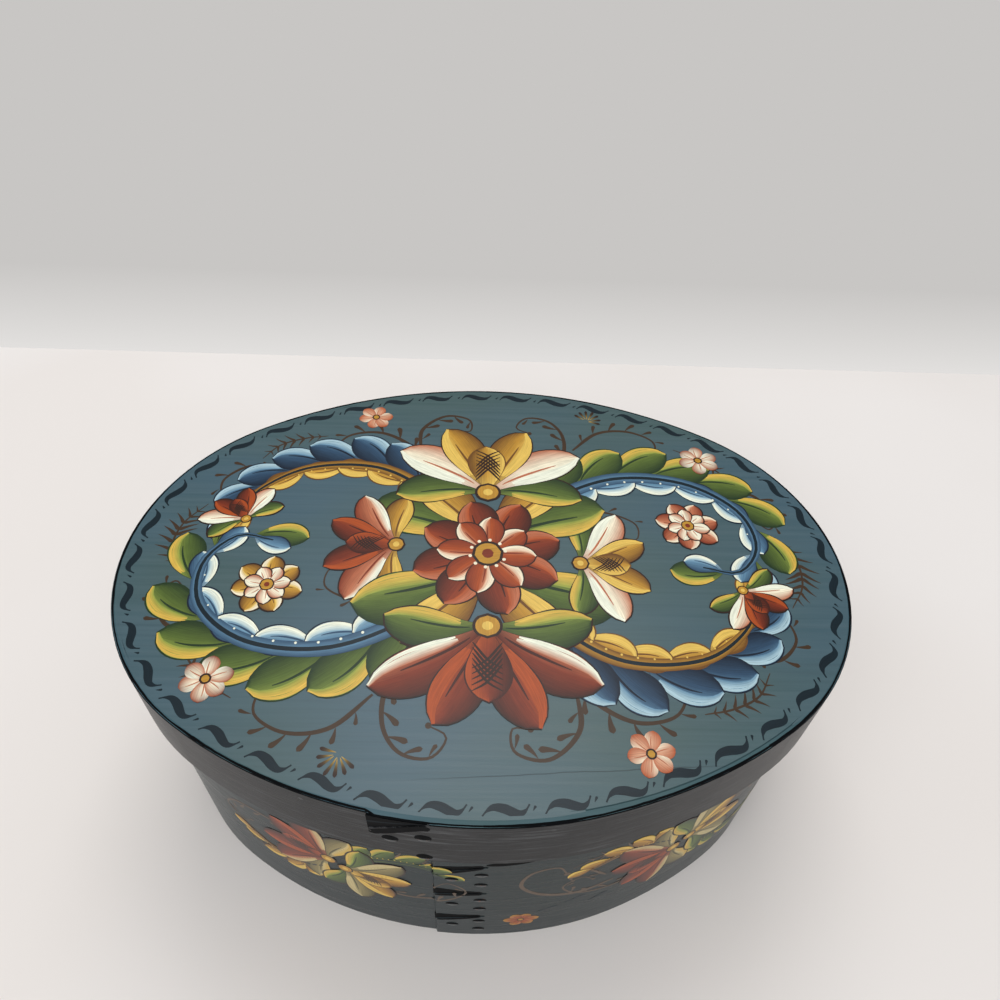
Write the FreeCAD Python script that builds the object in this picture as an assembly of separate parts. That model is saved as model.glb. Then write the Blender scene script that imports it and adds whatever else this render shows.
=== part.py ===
import FreeCAD, Part
import math
import os

from FreeCAD import Vector

os.makedirs("parts", exist_ok=True)

# An oval box of thin bent wood with a lift-off lid, in millimetres.
# Each wall is one strip bent round until its ends overlap. The outer end is planed thin, cut into
# swallowtail fingers and tacked down over the inner end.
# The floor and the lid board are let into their strips and held by small wooden pegs.
# X is the long way, the laps face -Y, and the box stands on Z = 0 with its lid on.

# Oval of the box wall, outside the strip and clear of the lap
box_length = 271.5
box_width = 201.0
sweep_crown = 15.75

# Heights and thicknesses
box_height = 113.0
box_strip = 2.0
floor_board = 6.5
lid_depth = 28.5
lid_strip = 2.0
lid_board = 7.5

# Clearances between pieces that fit each other
lid_fit = 2.0
board_fit = 0.05
peg_fit = 0.02
tack_fit = 0.03

# Laps: where the fingers part from the strip, by distance along the front from its middle
box_finger_root = 1.0
lid_finger_root = -17.5
finger_length = 18.5
finger_thickness = 1.0
finger_pitch = 26.5
lowest_gap = 23.5
gap_drops = [3.0, 0.0, 5.0]
gap_at_tips = 6.0
gap_at_roots = 1.0
lid_finger_tip = 9.5
finger_bow = 0.5
finger_bevel = 0.5
lap_full_length = 24.0
lap_feather = 70.0

# Tacks that hold the fingers
tack_head = 4.5
tack_head_rise = 0.35
tack_shank = 1.2
tack_tip = 0.4
tack_clinch = 2.4
root_tack_inset = 1.5
tip_tack_inset = 11.8
box_tack_spread = 9.8
box_tack_lift = 1.0
lid_tack_from_edge = 2.75
lid_tack_spread = 15.25

# Pegs that hold the boards
peg_count = 10
peg_size = 1.6
peg_in_board = 7.5
box_first_peg = 32.0
lid_first_peg = 20.0

# Softened edges
board_bevel = 0.4
rim_bevel = 0.3

# How far a cutting tool runs past what it cuts, and how near two heights count as the same
cut_over = 1.0
same_height = 1e-6

# Sizes that follow
total_height = box_height + lid_board
lid_edge = total_height - lid_depth


def heading_vector(heading):
    """Outward direction for a heading: 0 faces the front, a quarter turn faces +X."""
    return Vector(math.sin(heading), -math.cos(heading), 0)


def arc_edge(centre, radius, start, end):
    """Arc about a centre from one heading to another."""
    points = [centre + heading_vector(h) * radius for h in (start, (start + end) / 2, end)]
    return Part.Arc(points[0], points[1], points[2]).toShape()


class Oval:
    """Four tangent arcs: an end bend left and right, and a long sweep front and back."""

    def __init__(self, half_length, half_width):
        self.end_radius = half_width - sweep_crown
        self.reach = half_length - self.end_radius
        self.shift = (self.reach ** 2 - sweep_crown ** 2) / (2 * sweep_crown)
        self.front_radius = half_width + self.shift
        self.front_turn = math.atan2(self.reach, self.shift)

    def arcs(self):
        """Centre, radius, first and last heading of each arc, from the front sweep round to the left."""
        front = Vector(0, self.shift, 0)
        back = Vector(0, -self.shift, 0)
        right = Vector(self.reach, 0, 0)
        left = Vector(-self.reach, 0, 0)
        a = self.front_turn
        b = math.pi - self.front_turn
        return [
            (front, self.front_radius, -a, a),
            (right, self.end_radius, a, b),
            (back, self.front_radius, b, 2 * math.pi - b),
            (left, self.end_radius, 2 * math.pi - b, 2 * math.pi - a),
        ]

    def solid(self, offset, bottom, top):
        """Plain oval block, its outline moved outwards by the offset."""
        edges = [arc_edge(c, r + offset, h0, h1) for c, r, h0, h1 in self.arcs()]
        face = Part.Face(Part.Wire(edges))
        face.translate(Vector(0, 0, bottom))
        return face.extrude(Vector(0, 0, top - bottom))

    def lap_headings(self, root):
        """Headings where the lap steps out, where it starts to sink back, and where it has."""
        stations = (root - finger_length, root + lap_full_length, root + lap_full_length + lap_feather)
        return [distance / self.front_radius for distance in stations]

    def lap_ease(self, full, end):
        """How far the centres of the two returning arcs lie from the sweep's own centre."""
        return finger_thickness / (2 * (1 - math.cos((end - full) / 2)))

    def lapped_solid(self, root, bottom, top):
        """Oval block whose front stands out by a finger's thickness at the lap, then sinks back.

        The outline steps out at the finger tips, runs full, and returns through two tangent arcs.
        """
        front, radius, turn_left, turn_right = self.arcs()[0]
        tip, full, end = self.lap_headings(root)
        ease = self.lap_ease(full, end)
        step = tip + finger_bevel / radius
        middle = (full + end) / 2
        near = front + heading_vector(full) * ease
        far = front - heading_vector(end) * ease
        foot = front + heading_vector(tip) * radius
        shoulder = front + heading_vector(step) * (radius + finger_thickness)
        edges = [
            arc_edge(front, radius, turn_left, tip),
            Part.makeLine(foot, shoulder),
            arc_edge(front, radius + finger_thickness, step, full),
            arc_edge(near, radius + finger_thickness - ease, full, middle),
            arc_edge(far, radius + ease, middle, end),
            arc_edge(front, radius, end, turn_right),
        ]
        edges += [arc_edge(c, r, h0, h1) for c, r, h0, h1 in self.arcs()[1:]]
        face = Part.Face(Part.Wire(edges))
        face.translate(Vector(0, 0, bottom))
        return face.extrude(Vector(0, 0, top - bottom))

    def lap_rise(self, heading, root):
        """How far the lapped outline stands out from the oval at a heading."""
        radius = self.front_radius
        turned = (heading + math.pi) % (2 * math.pi) - math.pi
        tip, full, end = self.lap_headings(root)
        ease = self.lap_ease(full, end)
        if turned < tip or turned > end:
            return 0.0
        if turned < full:
            return finger_thickness
        if turned < (full + end) / 2:
            bend = radius + finger_thickness - ease
            turn = turned - full
            return ease * math.cos(turn) + math.sqrt(bend ** 2 - (ease * math.sin(turn)) ** 2) - radius
        bend = radius + ease
        turn = turned - end
        return math.sqrt(bend ** 2 - (ease * math.sin(turn)) ** 2) - ease * math.cos(turn) - radius

    def heading_at(self, distance):
        """Heading at a distance along the outline from the middle of the front, going right."""
        last = self.perimeter() - self.front_radius * self.front_turn
        if distance > last:
            return (distance - self.perimeter()) / self.front_radius
        heading = -self.front_turn
        left = distance + self.front_radius * self.front_turn
        for centre, radius, start, end in self.arcs():
            heading = start + left / radius
            if heading <= end:
                break
            left -= radius * (end - start)
        return heading

    def point_at(self, heading):
        """Point of the outline that faces a heading."""
        turned = (heading + self.front_turn) % (2 * math.pi) - self.front_turn
        for centre, radius, start, end in self.arcs():
            if turned <= end:
                break
        return centre + heading_vector(turned) * radius

    def perimeter(self):
        return sum(radius * (end - start) for centre, radius, start, end in self.arcs())


def finger_gap(oval, root, height, half_tip, half_root, drop):
    """Tapered gap between two fingers: rounded at its root, bowed sides, edges bevelled outwards.

    It is drawn flat against the middle of the fingers, facing -Y, and then turned to its place. Its
    open end lies lower than its root by the drop.
    """
    x_root = finger_length / 2
    x_open = -x_root - finger_bevel - cut_over
    sag = x_open ** 2 / (2 * oval.front_radius)

    def outline(y):
        grow = -y * finger_bevel / finger_thickness
        z_open = half_tip + grow
        z_root = half_root + grow
        z_middle = (z_open + z_root) / 2 - finger_bow
        x_middle = (x_open + x_root) / 2
        upper = [(x_open, z_open - drop), (x_middle, z_middle - drop / 2), (x_root, z_root)]
        lower = [(x_root, -z_root), (x_middle, -z_middle - drop / 2), (x_open, -z_open - drop)]
        upper = [Vector(x, y, z) for x, z in upper]
        lower = [Vector(x, y, z) for x, z in lower]
        edges = [
            Part.Arc(*upper).toShape(),
            Part.Arc(upper[2], Vector(x_root + z_root, y, 0), lower[0]).toShape(),
            Part.Arc(*lower).toShape(),
            Part.makeLine(lower[2], upper[0]),
        ]
        return Part.Wire(edges)

    gap = Part.makeLoft([outline(sag), outline(-finger_thickness - cut_over)], True, True)
    heading = (root - x_root) / oval.front_radius
    gap.rotate(Vector(0, 0, 0), Vector(0, 0, 1), math.degrees(heading))
    gap.translate(oval.point_at(heading) + Vector(0, 0, height))
    return gap


def place_outwards(solid, heading, point, height):
    """Turns a solid made along +X so that it points outwards at a place on a wall."""
    solid.rotate(Vector(0, 0, 0), Vector(0, 0, 1), math.degrees(heading) - 90)
    solid.translate(Vector(point.x, point.y, height))
    return solid


def peg(proud, strip, grow):
    """Round peg along X; X = 0 is the outside of the strip's under layer, and it ends proud of that."""
    inside = strip + peg_in_board
    return Part.makeCylinder(peg_size / 2 + grow, inside + proud, Vector(-inside, 0, 0), Vector(1, 0, 0))


def peg_ring(oval, strip, root, height, first, grow=0.0):
    """Pegs evenly spaced round a wall, each flush with the outside of the strip or its lap."""
    pegs = []
    for number in range(peg_count):
        heading = oval.heading_at(first + number * oval.perimeter() / peg_count)
        proud = oval.lap_rise(heading, root) + grow
        pegs.append(place_outwards(peg(proud, strip, grow), heading, oval.point_at(heading), height))
    return pegs


def tack_hole(strip):
    """Round hole for a tack's shank, through the finger and the strip under it."""
    length = finger_thickness + strip + 2 * cut_over
    start = Vector(-strip - cut_over, 0, 0)
    return Part.makeCylinder(tack_shank / 2 + tack_fit, length, start, Vector(1, 0, 0))


def clinch_section(height, strip, half_width):
    """Section of a tack's turned-up end, flat on the inner face of the strip."""
    face = strip + tack_fit
    low = Vector(-face, -half_width, height)
    inner = Vector(-face - half_width, -half_width, height)
    mirrored = [Vector(p.x, half_width, height) for p in (inner, low)]
    return Part.makePolygon([low, inner] + mirrored + [low])


def tack(strip):
    """Tack along X, X = 0 being the face that the fingers lie on.

    Its low domed head bears on the finger, and its point is turned up along the inner face.
    """
    half_head = tack_head / 2
    edge = Vector(0, half_head, 0)
    crown = Vector(tack_head_rise, 0, 0)
    # A dome has three quarters of its rise half way out
    shoulder = Vector(tack_head_rise * 3 / 4, half_head / 2, 0)
    profile = Part.Wire([
        Part.Arc(crown, shoulder, edge).toShape(),
        Part.makeLine(edge, Vector(0, 0, 0)),
        Part.makeLine(Vector(0, 0, 0), crown),
    ])
    head = Part.Face(profile).revolve(Vector(0, 0, 0), Vector(1, 0, 0), 360)
    head.translate(Vector(finger_thickness, 0, 0))
    half_shank = tack_shank / 2
    length = finger_thickness + strip + tack_fit
    shank = Part.makeCylinder(half_shank, length, Vector(finger_thickness, 0, 0), Vector(-1, 0, 0))
    thick = clinch_section(-half_shank, strip, half_shank)
    thin = clinch_section(tack_clinch, strip, tack_tip / 2)
    clinch = Part.makeLoft([thick, thin], True, True)
    return head.fuse(shank).fuse(clinch).removeSplitter()


def edges_at(solid, height):
    """Edges of a solid that lie at one height."""
    return [e for e in solid.Edges if all(abs(v.Z - height) < same_height for v in e.Vertexes)]


def strip_band(oval, strip, root, bottom, top, gaps):
    """One bent strip: the lapped outline, hollow inside, with the gaps between its fingers cut out."""
    bore = oval.solid(-strip, bottom - cut_over, top + cut_over)
    under_layer = oval.solid(0, bottom - cut_over, top + cut_over)
    block = oval.lapped_solid(root, bottom, top)
    band = block.makeChamfer(rim_bevel, edges_at(block, top)).cut(bore)
    for height, half_tip, half_root, drop in gaps:
        band = band.cut(finger_gap(oval, root, height, half_tip, half_root, drop).cut(under_layer))
    return band.removeSplitter()


def board(oval, strip, bottom, top, bevelled_face):
    """Oval board that fits inside a strip, one face's edge softened."""
    block = oval.solid(-strip - board_fit, bottom, top)
    return block.makeChamfer(board_bevel, edges_at(block, bevelled_face))


def write_node(name, shapes):
    shape = shapes[0] if len(shapes) == 1 else Part.makeCompound(shapes)
    shape.exportStep("parts/" + name + ".step")


# The lid's oval goes round the box's at an even distance, wide enough to clear the lap and its tacks
half_length = box_length / 2
half_width = box_width / 2
lid_grow = lid_fit + lid_strip
box_oval = Oval(half_length, half_width)
lid_oval = Oval(half_length + lid_grow, half_width + lid_grow)

# Gaps between the box's fingers, and the shoulders that narrow the lid's one finger to its tip
gap_heights = [lowest_gap + finger_pitch * number for number in range(len(gap_drops))]
half_root = gap_at_roots / 2
box_gaps = [(height, gap_at_tips / 2, half_root, drop) for height, drop in zip(gap_heights, gap_drops)]
lid_shoulder = (lid_depth - lid_finger_tip) / 2
lid_gaps = [(height, lid_shoulder, half_root, 0.0) for height in (lid_edge, total_height)]

# Tack places: distance along the front, and height
box_tack_places = []
for low, high in zip([0.0] + gap_heights, gap_heights + [box_height]):
    middle = (low + high) / 2 + box_tack_lift
    root_column = box_finger_root - root_tack_inset
    box_tack_places.append((root_column, middle - box_tack_spread / 2))
    box_tack_places.append((root_column, middle + box_tack_spread / 2))
    box_tack_places.append((box_finger_root - tip_tack_inset, middle))
lid_root_column = lid_finger_root - root_tack_inset
lid_lowest_tack = lid_edge + lid_tack_from_edge
lid_tack_places = [
    (lid_root_column, lid_lowest_tack),
    (lid_root_column, lid_lowest_tack + lid_tack_spread),
    (lid_finger_root - tip_tack_inset, (lid_edge + total_height) / 2),
]


def tacks(oval, strip, places):
    """Tacks and their holes for one lap."""
    solids = []
    holes = []
    for distance, height in places:
        heading = oval.heading_at(distance)
        point = oval.point_at(heading)
        solids.append(place_outwards(tack(strip), heading, point, height))
        holes.append(place_outwards(tack_hole(strip), heading, point, height))
    return solids, holes


box_tacks, box_tack_holes = tacks(box_oval, box_strip, box_tack_places)
lid_tacks, lid_tack_holes = tacks(lid_oval, lid_strip, lid_tack_places)

# Pegs sit at mid-thickness of the boards, all round
box_peg_places = (box_oval, box_strip, box_finger_root, floor_board / 2, box_first_peg)
lid_peg_places = (lid_oval, lid_strip, lid_finger_root, total_height - lid_board / 2, lid_first_peg)
box_pegs = peg_ring(*box_peg_places)
lid_pegs = peg_ring(*lid_peg_places)
box_peg_holes = peg_ring(*box_peg_places, peg_fit)
lid_peg_holes = peg_ring(*lid_peg_places, peg_fit)

box_band = strip_band(box_oval, box_strip, box_finger_root, 0, box_height, box_gaps)
box_band = box_band.cut(Part.makeCompound(box_tack_holes + box_peg_holes))
lid_band = strip_band(lid_oval, lid_strip, lid_finger_root, lid_edge, total_height, lid_gaps)
lid_band = lid_band.cut(Part.makeCompound(lid_tack_holes + lid_peg_holes))
box_bottom = board(box_oval, box_strip, 0, floor_board, 0).cut(Part.makeCompound(box_peg_holes))
lid_top = board(lid_oval, lid_strip, box_height, total_height, total_height)
lid_top = lid_top.cut(Part.makeCompound(lid_peg_holes))

write_node("box_band", [box_band])
write_node("box_bottom", [box_bottom])
write_node("box_tacks", box_tacks)
write_node("box_pegs", box_pegs)
write_node("lid_band", [lid_band])
write_node("lid_top", [lid_top])
write_node("lid_tacks", lid_tacks)
write_node("lid_pegs", lid_pegs)
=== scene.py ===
import math
import random

import bpy
from bpy.props import FloatProperty, FloatVectorProperty, IntProperty, PointerProperty
from mathutils import Matrix, Vector


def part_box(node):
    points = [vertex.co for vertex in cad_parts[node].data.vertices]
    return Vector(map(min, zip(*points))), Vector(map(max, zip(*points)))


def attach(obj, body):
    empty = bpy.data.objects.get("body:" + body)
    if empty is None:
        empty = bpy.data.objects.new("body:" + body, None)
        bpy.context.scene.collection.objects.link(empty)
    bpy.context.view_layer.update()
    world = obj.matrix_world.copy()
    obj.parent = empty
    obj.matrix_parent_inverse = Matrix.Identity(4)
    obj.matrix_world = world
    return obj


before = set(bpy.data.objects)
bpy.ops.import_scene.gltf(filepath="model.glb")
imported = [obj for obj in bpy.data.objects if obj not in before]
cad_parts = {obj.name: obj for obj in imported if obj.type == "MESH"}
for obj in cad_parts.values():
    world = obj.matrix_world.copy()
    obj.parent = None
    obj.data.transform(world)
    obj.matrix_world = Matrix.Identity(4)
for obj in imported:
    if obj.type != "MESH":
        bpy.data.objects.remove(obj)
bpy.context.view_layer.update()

bl_info = {
    "name": "Painted oval box",
    "version": (1, 0, 0),
    "blender": (4, 5, 0),
    "location": "View3D > Sidebar > Oval box",
    "description": "Finishes and folk painting for an oval box of bent wood",
    "category": "Object",
}

MM = 0.001

# How the strips are bent and lapped, in millimetres; the ovals' sizes come from the frame's own boxes.
# A distance along a wall is counted from the middle of the front, positive to the right.
# A finger points to the left, from its root to its tip.
SWEEP_CROWN = 15.75
FINGER_THICKNESS = 1.0
FINGER_LENGTH = 18.5
LAP_FULL = 24.0
LAP_FEATHER = 70.0
BOX_FINGER_ROOT = 1.0
LID_FINGER_ROOT = -17.5
LID_FINGER_TIP = 9.5
LID_FINGER_MIDDLE = 106.25
RIM_BEVEL = 0.3
# Middles of the gaps at the fingers' roots, how far each falls to its open end, and the half widths of a
# gap at its root and at its open end
BOX_GAPS = ((23.5, 3.0), (50.0, 0.0), (76.5, 5.0))
BOX_GAP_HALF = (0.5, 3.0)
TACK_HEAD_RADIUS = 2.25
TACK_HEAD_RISE = 0.35
# Each finger has two tacks near its root, one above the other, and one near its tip. These are the tacks
# of the box's three lower fingers, which are touched with black; the lid's band hides the top finger's.
BOX_TACK_HEIGHTS = (12.75, 37.75, 64.25)
BOX_TACK_ROOT, BOX_TACK_SPREAD, BOX_TACK_TIP = -0.5, 4.9, -10.8
BOX_TACKS = (
    [(BOX_TACK_ROOT, z + off) for z in BOX_TACK_HEIGHTS for off in (BOX_TACK_SPREAD, -BOX_TACK_SPREAD)]
    + [(BOX_TACK_TIP, z) for z in BOX_TACK_HEIGHTS]
)
LID_TACKS = ((-19.0, 94.75), (-19.0, 110.0), (-29.3, LID_FINGER_MIDDLE))


def linear(code):
    """Turns an sRGB hex colour into the linear colour that a shader takes."""
    parts = [int(code[i:i + 2], 16) / 255 for i in (1, 3, 5)]
    return tuple(p / 12.92 if p <= 0.04045 else ((p + 0.055) / 1.055) ** 2.4 for p in parts)


# Artists' oil colours as they dry on the box; black also lays the painted shade in and along the laps' gaps
PAINTS = {
    "ink": "#0c2029",
    "black": "#05070a",
    "black_worn": "#1d2327",
    "sepia": "#5f4c3b",
    "olive": "#566a2a",
    "olive_dark": "#22381c",
    "olive_light": "#8d9c40",
    "gold": "#d8b14a",
    "sky": "#5f88a3",
    "sky_light": "#a9c6cf",
    "sky_dark": "#2c4a65",
    "navy": "#101f31",
    "chalk": "#eef0da",
    "brick": "#7f2e10",
    "brick_dark": "#43190c",
    "brick_light": "#ab4913",
    "rose": "#ba6c49",
    "blush": "#dba582",
    "cream": "#f3e8cb",
    "ochre": "#bd8b2b",
    "ochre_dark": "#6f4716",
    "ochre_light": "#e3bd58",
    "umber": "#2f1a10",
    "straw_dark": "#4f4a2a",
    "straw": "#8f8150",
    "straw_light": "#cdbb84",
    "stem": "#43301f",
}
TINT = {name: linear(code) for name, code in PAINTS.items()}

# Sets of paints that a brush is loaded with together, from the shaded side of a petal to its light side
GREEN = ("olive_dark", "olive", "olive_light")
BLUE = ("sky_dark", "sky", "sky_light")
DEEP = ("navy", "sky_dark", "sky")
RED = ("brick_dark", "brick", "brick_light")
PINK = ("brick", "rose", "blush")
PALE = ("rose", "cream", "chalk")
YELLOW = ("ochre_dark", "ochre", "ochre_light")
WARM = ("brick_dark", "brick", "rose")
DULL = ("straw_dark", "straw", "straw_light")


def colour_property(name, description, code):
    return FloatVectorProperty(
        name=name, description=description, subtype="COLOR", size=3, min=0, max=1, default=linear(code)
    )


class OvalBoxFinish(bpy.types.PropertyGroup):
    """Ground colours and wood of the box."""

    lid_ground: colour_property("Lid ground", "Slate blue paint of the lid board", "#3c5864")
    lid_ground_green: colour_property("Greener lid ground", "Where the lid's paint is greener", "#3d5656")
    band_ground: colour_property("Lid band", "Charcoal glaze of the lid band", "#111316")
    band_grain: colour_property("Lid band grain", "Raised grain where the glaze is thin", "#5e6062")
    wall_ground: colour_property("Box wall", "Slate paint of the box wall", "#1d2a2e")
    bare_wood: colour_property("Bare wood", "Planed pale wood inside", "#c9a678")
    wood_grain: colour_property("Wood grain", "Darker lines of the bare wood", "#a47c4f")
    tack_metal: colour_property("Tacks", "Copper alloy where the paint has worn", "#7a4a34")
    grain_width: FloatProperty(
        name="Grain width", description="Spacing of the grain lines", default=0.0009, unit="LENGTH"
    )


class OvalBoxPainting(bpy.types.PropertyGroup):
    """Sizes of the painted ornament."""

    border_inset: FloatProperty(
        name="Border inset", description="From the lid's edge to the middle of the border", default=0.0054,
        unit="LENGTH",
    )
    border_leaves: IntProperty(
        name="Border leaves", description="How many leaves go round the lid", default=40, min=8, max=80
    )
    leaf_length: FloatProperty(
        name="Leaf length", description="Length of one border leaf", default=0.0148, unit="LENGTH"
    )
    leaf_width: FloatProperty(
        name="Leaf width", description="Widest part of a border leaf", default=0.0030, unit="LENGTH"
    )
    hand: IntProperty(name="Hand", description="Seed of the hand's small unevenness", default=7)


def node_mm(name):
    """Lowest and highest corner of a carried node in millimetres.

    The mesh's flat facets fall a few hundredths short of the arcs, so the sizes are taken to the nearest
    quarter of a millimetre.
    """
    return [Vector(round(4 * side / MM) / 4 for side in corner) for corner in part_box(name)]


class Oval:
    """Four tangent arcs, as the strips are bent: two end bends and two long sweeps, with a lap in front."""

    def __init__(self, half_length, half_width, root):
        self.end_radius = half_width - SWEEP_CROWN
        self.reach = half_length - self.end_radius
        self.root = root
        shift = (self.reach ** 2 - SWEEP_CROWN ** 2) / (2 * SWEEP_CROWN)
        self.radius = half_width + shift
        self.turn = math.atan2(self.reach, shift)
        a, b = self.turn, math.pi - self.turn
        self.arcs = [
            ((0, shift), self.radius, -a, a),
            ((self.reach, 0), self.end_radius, a, b),
            ((0, -shift), self.radius, b, 2 * math.pi - b),
            ((-self.reach, 0), self.end_radius, 2 * math.pi - b, 2 * math.pi - a),
        ]
        self.perimeter = sum(r * (end - start) for _, r, start, end in self.arcs)

    def rise(self, heading):
        """How far the lap stands out from the oval at a heading."""
        turned = (heading + math.pi) % (2 * math.pi) - math.pi
        tip = (self.root - FINGER_LENGTH) / self.radius
        full = (self.root + LAP_FULL) / self.radius
        end = (self.root + LAP_FULL + LAP_FEATHER) / self.radius
        if turned < tip or turned > end:
            return 0.0
        if turned < full:
            return FINGER_THICKNESS
        ease = FINGER_THICKNESS / (2 * (1 - math.cos((end - full) / 2)))
        if turned < (full + end) / 2:
            return FINGER_THICKNESS - ease * (1 - math.cos(turned - full))
        return ease * (1 - math.cos(end - turned))

    def place(self, distance, out=0.0, lap=True):
        """Point and outward direction at a distance along the outline."""
        left = (distance + self.radius * self.turn) % self.perimeter
        for centre, radius, start, end in self.arcs:
            length = radius * (end - start)
            if left <= length:
                break
            left -= length
        heading = start + left / radius
        normal = Vector((math.sin(heading), -math.cos(heading)))
        stand = out + (self.rise(heading) if lap else 0.0)
        return Vector(centre) + normal * (radius + stand), normal


def read_ovals():
    """Both ovals and the height of the lid's top, from the boxes of the carried nodes."""
    _, box_high = node_mm("box_band")
    _, lid_high = node_mm("lid_band")
    _, board_high = node_mm("lid_top")
    box = Oval(box_high.x, box_high.y, BOX_FINGER_ROOT)
    lid = Oval(lid_high.x, lid_high.y, LID_FINGER_ROOT)
    return box, lid, board_high.z


BOX_OVAL, LID_OVAL, TOP = read_ovals()


# Painting: strokes laid on a surface


def lid_surface(x, y, height):
    """The lid's top face: x to the right and y to the back, in millimetres."""
    return Vector((x * MM, y * MM, (TOP + height) * MM))


def wall_surface(oval, lap=True, domes=()):
    """A strip's outer face: distance along the wall and height above the ground, in millimetres."""

    def surface(distance, z, height):
        for x, y in domes:
            off = math.dist((distance, z), (x, y)) / TACK_HEAD_RADIUS
            height += TACK_HEAD_RISE * max(0.0, 1 - off * off)
        point, _ = oval.place(distance, height, lap)
        return Vector((point.x * MM, point.y * MM, z * MM))

    return surface


class Spot:
    """A place to paint from: moved, turned, sized and mirrored against the one it is in."""

    def __init__(self, x=0.0, y=0.0, turn=0.0, size=1.0, flip=False, inside=None):
        self.x, self.y, self.size = x, y, size
        self.cos, self.sin = math.cos(math.radians(turn)), math.sin(math.radians(turn))
        self.side = -1.0 if flip else 1.0
        self.inside = inside

    def to(self, p):
        x, y = p[0] * self.size, p[1] * self.size * self.side
        out = (self.x + x * self.cos - y * self.sin, self.y + x * self.sin + y * self.cos)
        return self.inside.to(out) if self.inside else out

    def at(self, x, y, turn=0.0, size=1.0, flip=False):
        return Spot(x, y, turn, size, flip, self)


SPLINE_STEPS = 12


def spline(points, count):
    """Smooth line through a few points, at even steps of its length."""
    ends = [
        (2 * points[0][0] - points[1][0], 2 * points[0][1] - points[1][1]),
        (2 * points[-1][0] - points[-2][0], 2 * points[-1][1] - points[-2][1]),
    ]
    knots = [ends[0], *points, ends[1]]
    fine = []
    for k in range(len(points) - 1):
        a, b, c, d = knots[k:k + 4]
        for i in range(SPLINE_STEPS):
            t = i / SPLINE_STEPS
            fine.append(tuple(
                0.5 * (2 * b[j] + (c[j] - a[j]) * t + (2 * a[j] - 5 * b[j] + 4 * c[j] - d[j]) * t * t
                       + (3 * b[j] - a[j] - 3 * c[j] + d[j]) * t ** 3)
                for j in (0, 1)
            ))
    fine.append(points[-1])
    run = [0.0]
    for p, q in zip(fine, fine[1:]):
        run.append(run[-1] + math.dist(p, q))
    line, k = [], 0
    for i in range(count + 1):
        goal = run[-1] * i / count
        while k < len(run) - 2 and run[k + 1] < goal:
            k += 1
        part = (goal - run[k]) / max(run[k + 1] - run[k], 1e-9)
        line.append(tuple(fine[k][j] + (fine[k + 1][j] - fine[k][j]) * part for j in (0, 1)))
    return line


def sides(line):
    """Direction and left-hand side at each point of a line."""
    found = []
    for i in range(len(line)):
        p, q = line[max(i - 1, 0)], line[min(i + 1, len(line) - 1)]
        length = max(math.dist(p, q), 1e-9)
        dx, dy = (q[0] - p[0]) / length, (q[1] - p[1]) / length
        found.append(((dx, dy), (-dy, dx)))
    return found


def beside(points, count, away):
    """Line that follows another one at a distance away(u) to its left."""
    line = spline(points, count)
    return [(p[0] + n[0] * away(i / count), p[1] + n[1] * away(i / count))
            for i, (p, (_, n)) in enumerate(zip(line, sides(line)))]


def bent(x, y, turn, length, bend, shares):
    """Points of a line that leaves a point at an angle and bends to one side, at shares of its length."""
    dx, dy = math.cos(turn), math.sin(turn)
    return [(x + dx * length * t - dy * length * bend * t * t,
             y + dy * length * t + dx * length * bend * t * t) for t in shares]


def mix(a, b, t):
    return tuple(x + (y - x) * t for x, y in zip(a, b))


def shade(stops, t):
    """Colour at a share of the way through a list of paints, evenly spaced."""
    if len(stops) == 1:
        return TINT[stops[0]]
    place = min(max(t, 0.0), 1.0) * (len(stops) - 1)
    k = min(int(place), len(stops) - 2)
    return mix(TINT[stops[k]], TINT[stops[k + 1]], place - k)


# How wide a stroke is along its length, from 0 to 1


def bump(u, power):
    return max(math.sin(math.pi * min(max(u, 0.0), 1.0)), 0.0) ** power


def round_petal(u):
    return bump(u ** 1.5, 0.62)


def teardrop(u):
    return min(1.0, (u / 0.16) ** 0.5) * (1 - u) ** 0.85


def liner(u):
    return 0.3 + 0.7 * bump(u ** 0.8, 0.8)


def trailing(u):
    return 0.18 + 0.82 * min(1.0, 0.3 + 4 * u) * (1 - u) ** 0.8


def fading(u):
    return (1 - u) ** 0.5 * min(1.0, 0.35 + u * 3)


def s_leaf(u):
    return 0.17 + 0.83 * bump((u - 0.1) / 0.8, 0.8)


def even(u):
    return min(1.0, 12 * u + 0.4, 12 * (1 - u) + 0.4)


def packed(sizes, gap):
    """Shelves of rectangles in a square that grows until all fit: their corners, and the square's side."""
    side = 1.03 * sum((a + gap) * (b + gap) for a, b in sizes) ** 0.5
    order = sorted(range(len(sizes)), key=lambda i: -sizes[i][1])
    while True:
        corners, x, y, shelf = [None] * len(sizes), gap, gap, 0.0
        for i in order:
            long, wide = sizes[i]
            if x + long + gap > side:
                x, y, shelf = gap, y + shelf, 0.0
            corners[i] = (x, y)
            x += long + gap
            shelf = max(shelf, wide + gap)
        if y + shelf <= side and max(a for a, _ in sizes) + 2 * gap <= side:
            return corners, side
        side *= 1.02


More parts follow.
